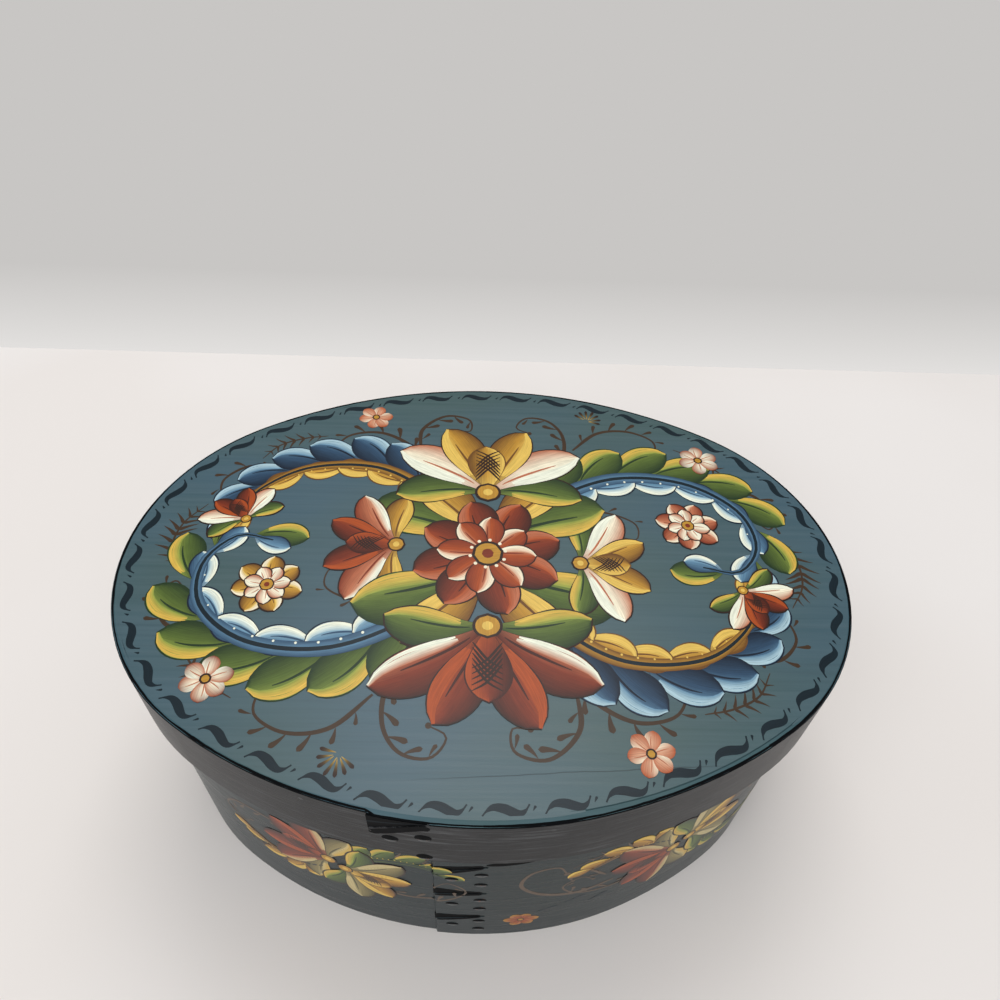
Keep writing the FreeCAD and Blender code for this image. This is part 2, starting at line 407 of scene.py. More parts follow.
class Brush:
    """Lays paint in thin closed strips on a surface, each over the last, and gathers them in one mesh.

    A stroke follows a free line and swells and thins, which no primitive gives, so it is built in code.
    Lengths are in millimetres.
    """

    # Each stroke lies a step over the last, and all of them reach a little into the wood
    STEP = 0.001
    SUNK = 0.03
    # Between strokes in the map for baking, and between the hair marks of one stroke and the next
    MAP_GAP = 0.8
    MARK_SHIFT = 7.3
    # Half the least width of a stroke, and its rows for each millimetre
    LEAST = 0.02
    ROWS = 0.9
    # In the map for baking, a strip's under face, sides and ends lie over its upper face, whose paint they
    # share: how far in the sides and ends reach, as shares of its width and length
    MAP_SIDE = 0.3
    MAP_END = 0.1

    def __init__(self, surface, first=0, seed=1, lowest=0.02):
        self.surface = surface
        self.lowest = lowest
        self.first = self.level = first
        self.hand = random.Random(seed)
        self.points, self.faces, self.tints, self.marks, self.maps, self.sizes = [], [], [], [], [], []

    def fresh(self):
        """Starts again at the lowest layer, for strokes that lie clear of the ones before."""
        self.level = self.first

    def strip(self, spot, left, right, across, tint):
        """Closed strip between two edges: tint(u, v) gives its colour along and across."""
        self.level += 1
        high = self.lowest + self.STEP * self.level
        rows = len(left) - 1
        left = [spot.to(p) for p in left]
        right = [spot.to(p) for p in right]
        run = [0.0]
        for i in range(rows):
            run.append(run[-1] + (math.dist(left[i], left[i + 1]) + math.dist(right[i], right[i + 1])) / 2)
        wide = max(math.dist(p, q) for p, q in zip(left, right))
        along = self.MARK_SHIFT * len(self.sizes)
        start, per = len(self.points), across + 1
        for height, steps in ((high, across), (-self.SUNK, 1)):
            for i in range(rows + 1):
                for j in range(steps + 1):
                    p = mix(left[i], right[i], j / steps)
                    self.points.append(self.surface(p[0], p[1], height))
                    self.tints.append((*tint(i / rows, j / steps), 1.0))
                    aside = (j / steps - 0.5) * math.dist(left[i], right[i])
                    self.marks.append(((run[i] + along) * MM, aside * MM))
        under, inset = start + (rows + 1) * per, self.MAP_SIDE * wide
        stroke = len(self.sizes)
        self.sizes.append((run[-1], wide))

        def face(*corners):
            self.faces.append([corner[0] for corner in corners])
            self.maps.extend((stroke, u, v) for _, u, v in corners)

        # From row to row: the first points above and below, the places along, and the faces between
        for i in range(rows):
            a, b, u, w = start + i * per, under + 2 * i, run[i], run[i + 1]
            for j in range(across):
                v, x = wide * j / across, wide * (j + 1) / across
                face((a + j, u, v), (a + j + 1, u, x), (a + per + j + 1, w, x), (a + per + j, w, v))
            face((b, u, 0), (b + 2, w, 0), (b + 3, w, wide), (b + 1, u, wide))
            face((a, u, 0), (a + per, w, 0), (b + 2, w, inset), (b, u, inset))
            face((a + across, u, wide), (b + 1, u, wide - inset), (b + 3, w, wide - inset),
                 (a + per + across, w, wide))
        for row, inward in ((0, 1), (rows, -1)):
            a, b, u = start + row * per, under + 2 * row, run[row]
            deep = u + inward * self.MAP_END * run[-1]
            face(*((a + j, u, wide * j / across) for j in range(per)), (b + 1, deep, wide), (b, deep, 0))

    def stroke(self, spot, points, width, profile, stops, across=1, count=None, tip=None, root=None):
        """One stroke of the brush along a line, its paints side by side; tip and root tint its ends."""
        length = sum(math.dist(p, q) for p, q in zip(points, points[1:]))
        count = count or max(8, min(44, int(length * self.ROWS)))
        left = beside(points, count, lambda u: width / 2 * profile(u) + self.LEAST)
        right = beside(points, count, lambda u: -width / 2 * profile(u) - self.LEAST)

        def tint(u, v):
            base = shade(stops, 1 - v)
            base = mix(base, TINT[tip], u ** 3) if tip else base
            return mix(base, TINT[root], 0.85 * max(0.0, 1 - 2.6 * u)) if root else base

        self.strip(spot, left, right, across, tint)

    def dot(self, spot, x, y, size, paint):
        """A round touch of the brush."""
        line = [(x - size / 2, y), (x, y), (x + size / 2, y)]
        self.stroke(spot, line, size, lambda u: max(0.0, 1 - (2 * u - 1) ** 2) ** 0.5, [paint], count=8)

    def comma(self, spot, x, y, turn, length, width, bend=0.25, stops=("stem",), tip=None):
        """Teardrop: a round head at a point, the tail running off at an angle and bending."""
        turn = math.radians(turn + self.hand.uniform(-3, 3))
        length *= self.hand.uniform(0.92, 1.08)
        points = bent(x, y, turn, length, bend, (0, 0.35, 0.7, 1))
        self.stroke(spot, points, width, teardrop, stops, len(stops), 11, tip)

    def petal(self, spot, x, y, turn, length, width, bend, stops, edge, line, side=1.0, tip=None, rim=None):
        """Rounded petal, shaded to its root, with a light outer edge, a dark inner line and a dark rim."""
        turn = math.radians(turn + self.hand.uniform(-2, 2))
        length *= self.hand.uniform(0.96, 1.04)
        spine = bent(x, y, turn, length, bend, (0, 0.3, 0.6, 0.85, 1))
        if rim:
            # The rim shows half a millimetre past the petal, whose last two points are 0.15 of its length
            # apart
            out = 0.5 / length
            grown = [*spine[:-1], mix(spine[-2], spine[-1], 1 + out / 0.15)]
            self.stroke(spot, grown, width + 1.1, round_petal, (rim,), 1, 16)
        body = stops if side > 0 else stops[::-1]
        self.stroke(spot, spine, width, round_petal, body, 4, 16, tip, stops[0])
        if edge:
            glow = beside(spine, 12, lambda u: side * width * 0.30 * round_petal(u))
            self.stroke(spot, glow[3:], width * 0.2, liner, (stops[-1], edge)[::int(side)], 2, 11, tip)
            brim = beside(spine, 16, lambda u: side * width * 0.45 * round_petal(u))
            self.stroke(spot, brim[4:], max(0.5, width * 0.11), fading, (edge,), 1, 14)
        if line:
            inner = beside(spine, 12, lambda u: side * width * 0.12 * round_petal(u))
            self.stroke(spot, inner[2:10], max(0.35, width * 0.06), liner, (line,), 1, 10)

    def curl(self, spot, points, width, paint="stem", commas=0, side=1, size=5.5):
        """Scrolling line that swells near its start, with teardrops along one side and a bulb at its end."""
        self.fresh()
        self.stroke(spot, points, width, trailing, (paint,), 1, 36)
        line = spline(points, 40)
        facing = sides(line)
        self.dot(spot, *line[-1], width, paint)
        for k in range(commas):
            i = int(5 + 25 * k / max(commas - 1, 1))
            (dx, dy), (nx, ny) = facing[i]
            away = math.degrees(math.atan2(dy, dx)) + side * 36
            grow = size * (0.55 + 0.45 * bump((k + 0.6) / commas, 1))
            px, py = line[i][0] + nx * side * 1.3, line[i][1] + ny * side * 1.3
            ahead = math.radians(away)
            self.comma(spot, px + math.cos(ahead) * grow, py + math.sin(ahead) * grow, away + 180, grow,
                       grow * 0.35, side * 0.2, (paint,))

    def make(self, name, body, material):
        """Turns the strokes into one piece that rides on a body."""
        mesh = bpy.data.meshes.new(name)
        mesh.from_pydata(self.points, [], self.faces)
        tints = mesh.color_attributes.new("Paint", "FLOAT_COLOR", "POINT")
        tints.data.foreach_set("color", [part for tint in self.tints for part in tint])
        marks = mesh.uv_layers.new(name="Stroke")
        marks.data.foreach_set("uv", [part for face in self.faces for i in face for part in self.marks[i]])
        corners, side = packed(self.sizes, self.MAP_GAP)
        spread = mesh.uv_layers.new(name="OFBake")
        spread.data.foreach_set("uv", [
            part for stroke, u, v in self.maps
            for part in ((corners[stroke][0] + u) / side, (corners[stroke][1] + v) / side)
        ])
        piece = bpy.data.objects.new(name, mesh)
        bpy.context.scene.collection.objects.link(piece)
        bpy.ops.object.select_all(action="DESELECT")
        piece.select_set(True)
        bpy.context.view_layer.objects.active = piece
        bpy.ops.object.mode_set(mode="EDIT")
        bpy.ops.mesh.select_all(action="SELECT")
        bpy.ops.mesh.normals_make_consistent(inside=False)
        bpy.ops.object.mode_set(mode="OBJECT")
        bpy.ops.object.shade_smooth_by_angle(angle=math.radians(30))
        mesh.materials.append(material)
        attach(piece, body)


# Materials


def add(tree, kind, inputs=None, out=0, **settings):
    """Adds a node with its settings, gives its sockets values or links, and returns one of its outputs."""
    made = tree.nodes.new("ShaderNode" + kind)
    for name, value in settings.items():
        setattr(made, name, value)
    for name, value in (inputs or {}).items():
        socket = made.inputs[name]
        if isinstance(value, bpy.types.NodeSocket):
            tree.links.new(value, socket)
        elif socket.type == "RGBA":
            socket.default_value = (*value[:3], 1.0)
        else:
            socket.default_value = value
    return made.outputs[out] if made.outputs else made


def start_material(name):
    """Empty material and the place of each point on its object."""
    material = bpy.data.materials.new(name)
    material.use_nodes = True
    material.node_tree.nodes.clear()
    place = add(material.node_tree, "TexCoord", out="Object")
    return material, material.node_tree, place


def finish_material(tree, colour, roughness, relief, strength, distance=0.0002, metallic=0.0, specular=0.5):
    """Shader of a finish: colour, gloss and fine relief."""
    normal = add(tree, "Bump", {"Height": relief, "Strength": strength, "Distance": distance})
    shader = add(tree, "BsdfPrincipled", {
        "Base Color": colour, "Roughness": roughness, "Metallic": metallic, "Specular IOR Level": specular,
        "Normal": normal,
    })
    add(tree, "OutputMaterial", {"Surface": shader})


def streaks(tree, place, scale, detail=3.0, rough=0.55, bend=0.0, seen=(0.0, 1.0), into=(0.0, 1.0)):
    """Noise drawn out along the axes, in waves per metre along each: the part seen becomes the part into."""
    drawn = add(tree, "Mapping", {"Vector": place, "Scale": scale})
    noise = add(tree, "TexNoise", {
        "Vector": drawn, "Scale": 1.0, "Detail": detail, "Roughness": rough, "Distortion": bend,
    })
    return add(tree, "MapRange", {1: seen[0], 2: seen[1], 3: into[0], 4: into[1], "Value": noise})


def over(tree, colour, layers):
    """Lays thin coats on a colour, each a share and its own colour."""
    for share, coat in layers:
        colour = add(tree, "Mix", {0: share, 6: colour, 7: coat}, 2, data_type="RGBA")
    return colour


def wood_colour(tree, place, finish):
    """Bare planed wood: pale, with fine darker grain lines along the piece."""
    return over(tree, finish.bare_wood, (
        (streaks(tree, place, (9, 9, 1 / finish.grain_width), 4, 0.6, 0.3, (0.42, 0.7)), finish.wood_grain),
        (streaks(tree, place, (14, 40, 30), 3, seen=(0.35, 0.75), into=(0, 0.35)), finish.wood_grain),
    ))


def inner_side(tree):
    """1 on faces that look towards the middle of the box, and 0 elsewhere."""
    flat = add(tree, "VectorMath", {0: add(tree, "NewGeometry", out="Position"), 1: (1, 1, 0)},
               operation="MULTIPLY")
    out = add(tree, "VectorMath", {0: flat}, operation="NORMALIZE")
    facing = add(tree, "VectorMath", {0: out, 1: add(tree, "NewGeometry", out="Normal")}, "Value",
                 operation="DOT_PRODUCT")
    return add(tree, "Math", {0: facing, 1: -0.3}, operation="LESS_THAN")


def lid_ground(tree, place, finish):
    """The lid's painted ground and its brush marks, which run on over the band's rim: long marks along the
    board, a cloudy shift from blue to green, and grain that shows through."""
    marks = streaks(tree, place, (14, 620, 60), 4, 0.6)
    colour = over(tree, finish.lid_ground, (
        (streaks(tree, place, (9, 16, 9), 2, seen=(0.36, 0.64)), finish.lid_ground_green),
        (add(tree, "MapRange", {"Value": marks, 1: 0.3, 2: 0.75, 4: 0.16}), linear("#667b84")),
        (streaks(tree, place, (22, 1 / finish.grain_width, 60), 3, 0.5, 0.4, (0.5, 0.78), (0, 0.16)),
         linear("#22313a")),
    ))
    return colour, marks


# The hair crack in front of the lid: how far askew it runs, where it would cross the middle, how far it
# wavers, how wide it is, and between which places it fades in and out, in metres
CRACK_SLOPE = 0.055
CRACK_MIDDLE = -0.0905
CRACK_WAVER = 0.0016
CRACK_HALF = (0.00005, 0.00022)
CRACK_ENDS = ((-0.03, 0.0), (0.078, 0.062))


def lid_board_paint(finish):
    """Slate blue oil paint brushed on a planed board, under satin varnish, with a hair crack in front. The
    crack runs along the grain, a little askew to the board, and its line wavers."""
    material, tree, place = start_material("lid_board_oil_paint")
    ground, marks = lid_ground(tree, place, finish)
    x, y = (add(tree, "SeparateXYZ", {"Vector": place}, axis) for axis in "XY")
    askew = add(tree, "Math", {0: x, 1: CRACK_SLOPE, 2: CRACK_MIDDLE}, operation="MULTIPLY_ADD")
    waver = streaks(tree, place, (60, 0, 0), 2, into=(0, CRACK_WAVER))
    line = add(tree, "Math", {0: askew, 1: waver}, operation="ADD")
    off = add(tree, "Math", {0: add(tree, "Math", {0: y, 1: line}, operation="SUBTRACT")},
              operation="ABSOLUTE")
    crack = add(tree, "MapRange", {"Value": off, 1: CRACK_HALF[0], 2: CRACK_HALF[1], 3: 1.0, 4: 0.0})
    for start, end in CRACK_ENDS:
        within = add(tree, "MapRange", {"Value": x, 1: start, 2: end})
        crack = add(tree, "Math", {0: crack, 1: within}, operation="MULTIPLY")
    share = add(tree, "Math", {0: crack, 1: 0.75}, operation="MULTIPLY")
    facing = add(tree, "SeparateXYZ", {"Vector": add(tree, "NewGeometry", out="Normal")}, "Z")
    under = add(tree, "Math", {0: facing, 1: -0.5}, operation="LESS_THAN")
    colour = over(tree, ground, ((share, linear("#1c2a30")), (under, wood_colour(tree, place, finish))))
    relief = add(tree, "Math", {0: marks, 1: crack}, operation="SUBTRACT")
    gloss = add(tree, "MapRange", {"Value": marks, 1: 0.3, 2: 0.7, 3: 0.34, 4: 0.44})
    finish_material(tree, colour, gloss, relief, 0.14)
    return material


def seam_paint(finish):
    """The lid's ground paint where it bridges the seam between board and band."""
    material, tree, place = start_material("lid_seam_oil_paint")
    colour, marks = lid_ground(tree, place, finish)
    finish_material(tree, colour, 0.39, marks, 0.14)
    return material


def lid_band_glaze(finish):
    """Charcoal glaze over bent ash, rubbed so that the open grain shows as fine pale streaks round the
    band, 1 mm apart, a little coarser than the real grain; the rim on top takes the lid's slate paint,
    its edge is lined with black, and the inside is bare."""
    material, tree, place = start_material("lid_band_charcoal_glaze")
    grain = streaks(tree, place, (40, 40, 1000), 5, 0.7, 0.2)
    glaze = over(tree, finish.band_ground, (
        (add(tree, "MapRange", {"Value": grain, 1: 0.5, 2: 0.64, 4: 0.75}), finish.band_grain),
        (streaks(tree, place, (20, 20, 90), 3, seen=(0.35, 0.7), into=(0, 0.5)), linear("#15171a")),
    ))
    height = add(tree, "SeparateXYZ", {"Vector": place}, "Z")
    bevel = add(tree, "Math", {0: height, 1: (TOP - RIM_BEVEL - 0.15) * MM}, operation="GREATER_THAN")
    rim = add(tree, "Math", {0: height, 1: (TOP - 0.02) * MM}, operation="GREATER_THAN")
    ground, _ = lid_ground(tree, place, finish)
    colour = over(tree, glaze, ((inner_side(tree), wood_colour(tree, place, finish)), (bevel, TINT["black"]),
                                (rim, ground)))
    gloss = add(tree, "MapRange", {"Value": grain, 1: 0.4, 2: 0.7, 3: 0.3, 4: 0.46})
    finish_material(tree, colour, gloss, grain, 0.3, specular=0.12)
    return material


def wall_paint(finish):
    """Slate oil paint on bent wood, brushed round the wall under a glossy varnish; bare inside."""
    material, tree, place = start_material("box_wall_oil_paint")
    marks = streaks(tree, place, (16, 16, 700), 4, 0.6, 0.2)
    painted = over(tree, finish.wall_ground, (
        (streaks(tree, place, (12, 12, 16), 2, seen=(0.35, 0.65)), linear("#1a2728")),
        (add(tree, "MapRange", {"Value": marks, 1: 0.42, 2: 0.75, 4: 0.14}), linear("#465155")),
    ))
    colour = over(tree, painted, ((inner_side(tree), wood_colour(tree, place, finish)),))
    gloss = add(tree, "MapRange", {"Value": marks, 1: 0.3, 2: 0.7, 3: 0.24, 4: 0.36})
    finish_material(tree, colour, gloss, marks, 0.07, specular=0.13)
    return material


def bare_board(finish):
    """Planed pale softwood, unfinished: low sheen, grain along the board."""
    material, tree, place = start_material("floor_board_planed_pine")
    turned = add(tree, "Mapping", {"Vector": place, "Rotation": (math.radians(90), 0, 0)})
    colour = wood_colour(tree, turned, finish)
    finish_material(tree, colour, 0.62, streaks(tree, place, (30, 900, 900)), 0.2)
    return material


def peg_wood(finish):
    """Hardwood pegs painted over with the wall, darker in specks where the paint sank into end grain."""
    material, tree, place = start_material("peg_painted_hardwood")
    speck = streaks(tree, place, (2500, 2500, 2500), 2, seen=(0.4, 0.65))
    finish_material(tree, over(tree, finish.band_ground, ((speck, finish.wall_ground),)), 0.4, speck, 0.2)
    return material


def tack_copper(finish):
    """Copper tacks painted over: dark paint in general, worn to dull metal in small patches."""
    material, tree, place = start_material("tack_painted_copper")
    wear = streaks(tree, place, (900, 900, 900), 3, seen=(0.58, 0.68))
    colour = over(tree, finish.wall_ground, ((wear, finish.tack_metal),))
    metal = add(tree, "Math", {0: wear, 1: 0.6}, operation="MULTIPLY")
    finish_material(tree, colour, 0.34, wear, 0.1, metallic=metal)
    return material


def start_strokes(name):
    """Empty material, each stroke's own paint, and the place of each point along and across its stroke."""
    material, tree, _ = start_material(name)
    paint = add(tree, "Attribute", out="Color", attribute_name="Paint")
    return material, tree, paint, add(tree, "UVMap", uv_map="Stroke")


def oil_paint():
    """Artists' oil paint laid with a loaded round brush, one paint for every stroke: the hairs leave fine
    lighter and darker ridges along it. They are 0.35 mm apart, a little coarser than real ones, so that
    they show."""
    if "artists_oil_paint" in bpy.data.materials:
        return bpy.data.materials["artists_oil_paint"]
    material, tree, paint, marks = start_strokes("artists_oil_paint")
    ridges = streaks(tree, marks, (70, 2800, 1), 3, 0.6)
    strong = add(tree, "MapRange", {"Value": ridges, 1: 0.28, 2: 0.72, 3: 0.72, 4: 1.16})
    thin = streaks(tree, marks, (160, 420, 1), 2, seen=(0.3, 0.7), into=(0.9, 1.05))
    scale = add(tree, "Math", {0: strong, 1: thin}, operation="MULTIPLY")
    colour = add(tree, "VectorMath", {0: paint, "Scale": scale}, operation="SCALE")
    finish_material(tree, colour, 0.38, ridges, 0.12, 0.00008, specular=0.32)
    return material


def matt_black():
    """Matt black: painted shade in and along the gaps of the laps and under the lid's lower edge, with the
    dark paint settled there; black over the upper half of each tack head; and the black paint line along
    the lid's edge.
    """
    if "black_paint_and_painted_shade_matt" in bpy.data.materials:
        return bpy.data.materials["black_paint_and_painted_shade_matt"]
    material, tree, paint, marks = start_strokes("black_paint_and_painted_shade_matt")
    ridges = streaks(tree, marks, (70, 2000, 1), 3, 0.6)
    scale = add(tree, "MapRange", {"Value": ridges, 1: 0.28, 2: 0.72, 3: 0.7, 4: 1.3})
    colour = add(tree, "VectorMath", {0: paint, "Scale": scale}, operation="SCALE")
    finish_material(tree, colour, 0.7, ridges, 0.1, 0.00008, specular=0.08)
    return material


# Painted ornament


def border_leaf(brush, spot, length, width):
    """One S-shaped leaf of the border, and the tick before the next."""
    wave = [(-0.5, -0.6), (-0.41, -0.1), (-0.26, 0.3), (-0.05, 0.18),
            (0.14, -0.2), (0.3, -0.36), (0.42, 0.0), (0.5, 0.62)]
    brush.stroke(spot, [(x * length, y * width) for x, y in wave], width, s_leaf, ("ink",), 2, 26)
    brush.comma(spot, length * 0.63, width * 0.45, -122, width * 0.7, width * 0.34, 0.0, ("ink",))


def leaf_arm(brush, spot, spine, lobes, size, stops, edge, side, spread, rim=None, body=True):
    """Scrolling arm: overlapping rounded lobes along a spine, then its body and a dark vein over them.

    The lobes stand out from the spine by the spread's first angle at its foot and by its second at its end.
    """
    line = spline(spine, 60)
    facing = sides(line)
    for k in range(lobes):
        u = 0.95 - 0.80 * k / (lobes - 1)
        (dx, dy), _ = facing[int(u * 60)]
        away = math.degrees(math.atan2(dy, dx)) + side * (spread[0] + (spread[1] - spread[0]) * u)
        grow = size * (0.5 + 0.5 * bump(0.5 - 0.42 * u, 1.0))
        brush.petal(spot, *line[int(u * 60)], away, grow, grow * 0.56, -side * 0.32, stops, edge, stops[0],
                    side, rim=rim)
    if body:
        brush.stroke(spot, spine, size * 0.36, fading, (stops[0], stops[1], stops[0]), 4, 44)
        for k, p in enumerate(beside(spine, 60, lambda u: side * size * 0.11)[10:50:3]):
            brush.dot(spot, *p, size * (0.052 - 0.002 * k), edge)
    brush.stroke(spot, spine, max(1.0, size * 0.075), liner, ("ink",), 1, 44)


def rosette(brush, spot, radius, petals, outer, inner, edge):
    """Round flower: an outer and an inner ring of petals about a button centre."""
    for share, stops, tilt, light in ((1.0, outer, 0.0, edge), (0.66, inner, 0.5, "cream")):
        for k in range(petals):
            turn = 360 * (k + tilt) / petals + 3 * math.sin(2.1 * k)
            length = radius * share
            width = length * 4.4 / petals
            brush.petal(spot, 0, 0, turn, length, width, 0.08, stops, light, stops[0], rim="umber")
    for size, paint in ((0.44, "umber"), (0.36, "ochre"), (0.16, "brick")):
        brush.dot(spot, 0, 0, radius * size, paint)
    for k in range(10):
        a = 2 * math.pi * k / 10
        brush.dot(spot, math.cos(a) * radius * 0.24, math.sin(a) * radius * 0.24, radius * 0.05, "cream")


def tulip(brush, spot, size, heart, wing, leaf, brim="chalk"):
    """Cup flower that opens along +X: outer leaves, wings with a pale brim and a dark netted heart."""

    def petal(x, turn, length, width, bend, stops, edge, line, side=1.0, rim="umber"):
        length, width = size * length, size * width
        brush.petal(spot, size * x, 0, turn, length, width, bend, stops, edge, line, side, rim=rim)

    for side in (1, -1):
        petal(0, side * 68, 0.78, 0.38, side * 0.5, leaf, "gold", leaf[0], side)
        petal(0, side * 40, 1.02, 0.42, side * 0.34, wing, brim, wing[0], side)
    for side in (1, -1):
        petal(0.03, side * 17, 0.94, 0.40, side * 0.14, heart, heart[-1], heart[0], side)
    petal(0.02, 0, 0.66, 0.36, 0.0, heart[::-1], None, None, rim=heart[0])
    for k in (-2, -1, 0, 1, 2):
        for lean in (1, -1):
            x, rise = size * (0.36 + 0.05 * k * lean), size * 0.12 * lean
            ends = [(x - size * 0.1, rise), (x + size * 0.06, 0.0), (x + size * 0.14, -rise)]
            brush.stroke(spot, ends, size * 0.022, liner, ("umber",), 1, 8)
    for share, paint in ((0.25, "umber"), (0.2, "ochre"), (0.09, "ochre_light")):
        brush.dot(spot, 0, 0, size * share, paint)


def daisy(brush, spot, radius, stops=PALE, tips="brick"):
    """Small open flower of rounded petals with reddened tips."""
    for k in range(6):
        turn = 60 * k + 7 * math.sin(k * 1.7)
        brush.petal(spot, 0, 0, turn, radius, radius * 0.68, 0.05, stops, None, stops[0], tip=tips)
    brush.dot(spot, 0, 0, radius * 0.46, "umber")
    brush.dot(spot, 0, 0, radius * 0.3, "ochre")


def fishbone(brush, spot, points, count, size, paint="stem"):
    """Thin bending line with pairs of teardrops that grow and shrink along it."""
    brush.fresh()
    brush.stroke(spot, points, 0.8, liner, (paint,), 1, 30)
    line = spline(points, 40)
    facing = sides(line)
    for k in range(count):
        i = int(4 + 34 * k / count)
        (dx, dy), _ = facing[i]
        turn = math.degrees(math.atan2(dy, dx))
        grow = size * bump((k + 1) / (count + 1), 0.7)
        for side in (1, -1):
            brush.comma(spot, *line[i], turn + side * 44, grow, grow * 0.24, side * 0.2, (paint,))


def wheat(brush, spot, size):
    """Fan of short touches, dark at the tip and gold at the foot."""
    for k in range(7):
        turn = 26 * (k - 3)
        reach = size * (1 - 0.05 * abs(k - 3))
        x, y = math.cos(math.radians(turn)) * reach, math.sin(math.radians(turn)) * reach
        brush.comma(spot, x, y, turn + 180, reach * 0.8, size * 0.2, 0.05, ("umber",), tip="gold")


def lid_tendrils(brush, half):
    """Thin scrolls of half the lid; the other half is this turned round."""
    for points, width, commas, size in (
        ([(22, 46), (33, 58), (34, 72), (28, 82), (18, 84), (13, 77), (19, 73)], 2.2, 6, 7.5),
        ([(38, 62), (50, 74), (64, 76), (75, 70), (75, 62), (68, 62)], 2.0, 6, 7),
        ([(104, 38), (114, 35), (120, 24), (116, 16), (111, 20)], 1.8, 4, 6),
    ):
        brush.curl(half, points, width, "stem", commas, 1, size)
    fishbone(brush, half, [(84, 64), (94, 58), (103, 48), (108, 40)], 7, 6)
    fishbone(brush, half, [(117, 10), (122, 0), (121, -13), (114, -24)], 9, 8)
    for points, width, commas, size in (
        ([(24, -46), (34, -62), (48, -71), (62, -69), (67, -60), (60, -57)], 2.4, 6, 8),
        ([(30, -60), (30, -74), (20, -84), (9, -82), (8, -74), (14, -74)], 2.1, 5, 7.5),
        ([(92, -42), (102, -47), (111, -39), (110, -30), (104, -31)], 1.8, 4, 6),
    ):
        brush.curl(half, points, width, "stem", commas, -1, size)
    brush.curl(half, [(18, 8), (30, 21), (46, 24), (60, 18), (60, 9), (54, 10)], 1.6, "stem", 5, 1, 5)
    fishbone(brush, half, [(72, -68), (82, -66), (92, -61), (98, -52)], 7, 6)
    wheat(brush, half.at(46, 83, 60), 8)


def lid_arms(brush, half):
    """Leaf scrolls of half the lid."""
    brush.fresh()
    upper = [(10, 12), (28, 31), (55, 44), (84, 42), (104, 27), (108, 7), (98, -7), (84, -5)]
    leaf_arm(brush, half, upper, 9, 31, GREEN, "gold", 1, (42, 28), "olive_dark", False)
    leaf_arm(brush, half, upper, 8, 23, BLUE, "chalk", -1, (38, 24), "navy")
    brush.fresh()
    lower = [(12, -12), (26, -34), (48, -48), (76, -47), (95, -33), (101, -17)]
    leaf_arm(brush, half, lower, 8, 29, DEEP, "sky_light", -1, (44, 28), "navy", False)
    leaf_arm(brush, half, lower, 7, 21, YELLOW, "ochre_light", 1, (38, 26), "ochre_dark")


def lid_centre(brush, whole):
    """The flowers of the middle."""
    for turn, heart, wing in ((90, YELLOW, PALE), (270, RED, WARM)):
        brush.fresh()
        spot = whole.at(0, 0, turn)
        for side in (1, -1):
            brush.petal(spot, 8, side * 5, side * 46, 43, 24, side * 0.42, GREEN, "gold", "olive_dark",
                        side, rim="olive_dark")
            brush.petal(spot, 10, side * 3, side * 24, 40, 19, side * 0.28, YELLOW, "ochre_light",
                        "ochre_dark", side, rim="umber")
        tulip(brush, spot.at(34, 0), 44, heart, wing, GREEN)
    rosette(brush, whole.at(0, 0, 11), 29, 8, RED, ("brick", "brick_light", "blush"), "rose")


def lid_sprigs(brush, half, petals, cup):
    """Smaller flowers of half the lid."""
    brush.fresh()
    rosette(brush, half.at(82, 17, 9), 13, 7, *petals, "cream")
    brush.fresh()
    tulip(brush, half.at(36, -4, -2), 29, *cup)
    brush.fresh()
    tulip(brush, half.at(97, -16, -55), 18, RED, PALE, GREEN)
    brush.fresh()
    daisy(brush, half.at(94, 57, 20), 9)
    brush.fresh()
    daisy(brush, half.at(52, -82, 10), 8, ("rose", "blush", "cream"), "brick_light")


def wall_spray(brush, spot):
    """Flower spray for the wall, about 90 mm wide: two cup flowers between leaf arms and tendrils."""
    brush.fresh()
    brush.curl(spot, [(-6, 4), (-22, 15), (-38, 14), (-46, 4), (-40, -3), (-35, 2)], 1.5, "sepia", 6, 1)
    brush.curl(spot, [(6, -4), (22, -15), (38, -12), (46, -2), (40, 6), (35, 1)], 1.5, "sepia", 6, 1)
    fishbone(brush, spot, [(-4, -6), (-18, -18), (-34, -20), (-44, -14)], 8, 6, "sepia")
    fishbone(brush, spot, [(4, 8), (18, 20), (32, 21), (42, 16)], 8, 5.5, "sepia")
    leaf_arm(brush, spot, [(4, 6), (15, 15), (28, 17), (38, 12)], 5, 14, GREEN, "gold", 1, (46, 30))
    leaf_arm(brush, spot, [(-4, -6), (-15, -14), (-28, -15), (-38, -8)], 5, 14, YELLOW, "ochre_light", 1,
             (46, 30))
    tulip(brush, spot.at(-3, 2, 160), 27, RED, WARM, DULL, brim="straw_light")
    tulip(brush, spot.at(3, -2, -22), 25, YELLOW, DULL, GREEN, brim="straw_light")


# The add-on's operators: one for the stage, and one for each piece or group of like pieces


